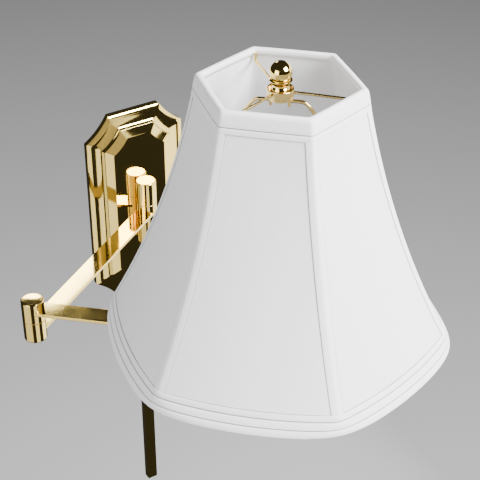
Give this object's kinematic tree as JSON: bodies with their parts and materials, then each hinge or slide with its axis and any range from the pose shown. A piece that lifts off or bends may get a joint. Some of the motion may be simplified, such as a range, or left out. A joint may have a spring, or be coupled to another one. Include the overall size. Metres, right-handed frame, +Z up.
{
  "type": "swing arm wall sconce",
  "caption": "Brass swing arm wall lamp: stepped wall plate, flat double-jointed arms, harp and finial under a six-sided bell shade, with a cord cover down the wall.",
  "frame": {"origin": "middle of the wall plate, on the wall plane", "axes": "+Z up, +Y into the wall, -Y out into the room, +X to the right seen from the room"},
  "size_m": [0.3265, 0.4575, 0.689],
  "materials": {
    "polished_brass": "mirror polished and lacquered",
    "brass_wire": "polished drawn wire",
    "socket_brass": "satin stamped shell",
    "zinc_steel": "zinc plated",
    "fibre": "matt fibre",
    "bushing_rubber": "matt",
    "lead_insulation": "clear gold insulation",
    "insulating_paper": "pressed paper",
    "socket_moulding": "moulded thermoset",
    "shell_aluminium": "drawn, bright",
    "knob_plastic": "moulded, ribbed",
    "frame_wire": "white coated wire",
    "shade_cloth": "smooth fine weave, stretched",
    "lining_cloth": "soft lining cloth",
    "trim_cloth": "folded bias tape"
  },
  "bodies": {
    "wall_mount": {"wall_plate": "polished_brass", "mounting_bar": "zinc_steel", "lock_screws": "zinc_steel", "cord_inlet_bushing": "bushing_rubber", "cord_cover": "polished_brass", "cover_clips": "zinc_steel", "upper_pivot_ear": "polished_brass", "lower_pivot_ear": "polished_brass", "ear_nuts": "zinc_steel", "wall_pivot_tube": "zinc_steel"},
    "arm_one": {"arm_one_wall_barrel": "polished_brass", "wall_pivot_washers": "fibre", "arm_one_tube": "polished_brass", "arm_one_leads": "lead_insulation", "elbow_lower_barrel": "polished_brass", "elbow_washer": "fibre", "elbow_tube": "zinc_steel", "elbow_nut": "zinc_steel", "elbow_base_plug": "polished_brass"},
    "arm_two": {"elbow_upper_barrel": "polished_brass", "elbow_cap": "polished_brass", "arm_two_tube": "polished_brass", "arm_two_leads": "lead_insulation", "lamp_barrel": "polished_brass", "lamp_base_cap": "polished_brass", "lamp_stem": "zinc_steel", "harp_saddle": "brass_wire", "harp_wire": "brass_wire", "harp_clip": "brass_wire", "harp_stud": "brass_wire", "socket_cap": "socket_brass", "socket_shell": "socket_brass", "socket_insulator": "insulating_paper", "socket_body": "socket_moulding", "screw_shell": "shell_aluminium", "centre_contact": "socket_brass"},
    "switch": {"switch_shaft": "socket_brass", "switch_knob": "knob_plastic"},
    "sleeve_left": {"harp_sleeve_left": "brass_wire"},
    "sleeve_right": {"harp_sleeve_right": "brass_wire"},
    "shade": {"spider_hub": "brass_wire", "spider_wires": "brass_wire", "shade_top_ring": "frame_wire", "shade_bottom_ring": "frame_wire", "shade_ribs": "frame_wire", "shade_panel_1": "shade_cloth", "shade_panel_2": "shade_cloth", "shade_panel_3": "shade_cloth", "shade_panel_4": "shade_cloth", "shade_panel_5": "shade_cloth", "shade_panel_6": "shade_cloth", "shade_lining": "lining_cloth", "shade_top_trim": "trim_cloth", "shade_bottom_trim": "trim_cloth", "shade_top_binding": "trim_cloth", "shade_bottom_binding": "trim_cloth", "shade_corner_tapes": "trim_cloth"},
    "finial": {"finial": "polished_brass"}
  },
  "joints": [
    {"name": "wall_swing", "type": "hinge", "parent": "wall_mount", "child": "arm_one", "pos_m": [0, -0.026, 0.001], "axis": [0, 0, 1], "range_deg": [-31.6, 144.4]},
    {"name": "elbow_swing", "type": "hinge", "parent": "arm_one", "child": "arm_two", "pos_m": [-0.18824, -0.15107, 0.0119], "axis": [0, 0, 1], "range_deg": [-223.2, 16.8]},
    {"name": "switch_turn", "type": "hinge", "parent": "arm_two", "child": "switch", "pos_m": [-0.02349, -0.30577, 0.06], "axis": [-0.6845, -0.729, 0], "continuous": true},
    {"name": "sleeve_left_lift", "type": "slide", "parent": "arm_two", "child": "sleeve_left", "axis": [0, 0, 1], "range_m": [0, 0.012]},
    {"name": "sleeve_right_lift", "type": "slide", "parent": "arm_two", "child": "sleeve_right", "axis": [0, 0, 1], "range_m": [0, 0.012]},
    {"name": "shade_turn", "type": "hinge", "parent": "arm_two", "child": "shade", "pos_m": [-0.02349, -0.30577, 0.265], "axis": [0, 0, 1], "continuous": true},
    {"name": "finial_turn", "type": "hinge", "parent": "arm_two", "child": "finial", "pos_m": [-0.02349, -0.30577, 0.275], "axis": [0, 0, 1], "continuous": true}
  ]
}
